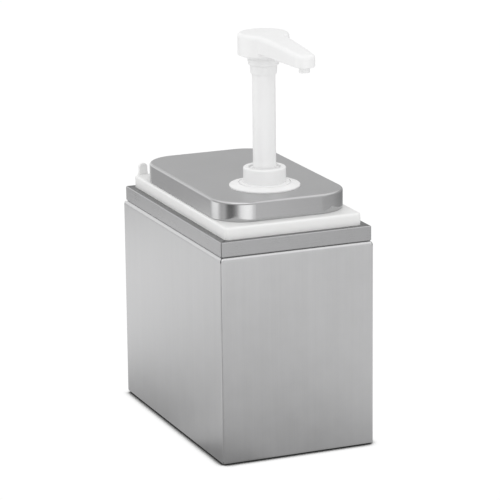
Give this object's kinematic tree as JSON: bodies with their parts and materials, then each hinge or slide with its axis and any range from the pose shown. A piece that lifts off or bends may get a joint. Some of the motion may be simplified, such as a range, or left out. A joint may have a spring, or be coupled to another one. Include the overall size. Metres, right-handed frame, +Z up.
{
  "type": "condiment pump dispenser",
  "caption": "Countertop condiment dispenser: folded steel housing, lift-out white container, steel lid and a white plunger pump with a forward spout.",
  "frame": {"origin": "centre of the housing's footprint, on the plane it stands on", "axes": "+Z up; -Y forwards, the way the spout points; +X to the right seen from the front"},
  "size_m": [0.137, 0.2465, 0.3464],
  "materials": {
    "housing_steel": "fine satin",
    "collar_steel": "brushed along its length",
    "lid_steel": "satin, polished skirt",
    "zinc_steel": "dull",
    "spring_steel": "bright stainless",
    "pad_rubber": "matt",
    "seal_rubber": "translucent silicone",
    "container_plastic": "natural white polypropylene",
    "pump_plastic": "white polypropylene, semi-gloss",
    "inner_plastic": "natural polypropylene"
  },
  "bodies": {
    "housing": {"front_shell": "housing_steel", "rear_panel": "housing_steel", "collar_front": "collar_steel", "collar_right": "collar_steel", "collar_rear": "collar_steel", "collar_left": "collar_steel", "base_plate": "zinc_steel", "base_pad": "pad_rubber", "base_rivets": "zinc_steel"},
    "container": {"container": "container_plastic"},
    "lid": {"lid": "lid_steel", "pump_flange": "pump_plastic", "lid_gasket": "seal_rubber", "lock_nut": "pump_plastic", "pump_cap": "pump_plastic", "stem_guide": "pump_plastic", "cylinder_gasket": "seal_rubber", "pump_cylinder": "inner_plastic", "foot_valve": "inner_plastic", "inlet_cage": "inner_plastic", "dip_tube": "inner_plastic", "return_spring": "spring_steel"},
    "plunger": {"stem": "pump_plastic", "piston": "inner_plastic", "piston_seal": "seal_rubber", "outlet_cage": "inner_plastic", "stem_ring": "seal_rubber"},
    "head": {"pump_head": "pump_plastic", "spout_nozzle": "pump_plastic"},
    "inlet_ball": {"inlet_ball": "spring_steel"},
    "outlet_ball": {"outlet_ball": "spring_steel"}
  },
  "joints": [
    {"name": "container_lift", "type": "slide", "parent": "housing", "child": "container", "axis": [0, 0, 1], "range_m": [0, 0.2]},
    {"name": "lid_lift", "type": "slide", "parent": "container", "child": "lid", "axis": [0, 0, 1], "range_m": [0, 0.2]},
    {"name": "plunger_stroke", "type": "slide", "parent": "lid", "child": "plunger", "axis": [0, 0, -1], "range_m": [0, 0.076], "stiffness_N_per_m": 180, "springref_m": -0.03, "deforming": ["return_spring"]},
    {"name": "head_turn", "type": "hinge", "parent": "plunger", "child": "head", "pos_m": [0, -0.0435, 0.32], "axis": [0, 0, 1], "continuous": true},
    {"name": "inlet_ball_lift", "type": "slide", "parent": "lid", "child": "inlet_ball", "axis": [0, 0, 1], "range_m": [0, 0.003]},
    {"name": "outlet_ball_lift", "type": "slide", "parent": "plunger", "child": "outlet_ball", "axis": [0, 0, 1], "range_m": [0, 0.003]}
  ]
}
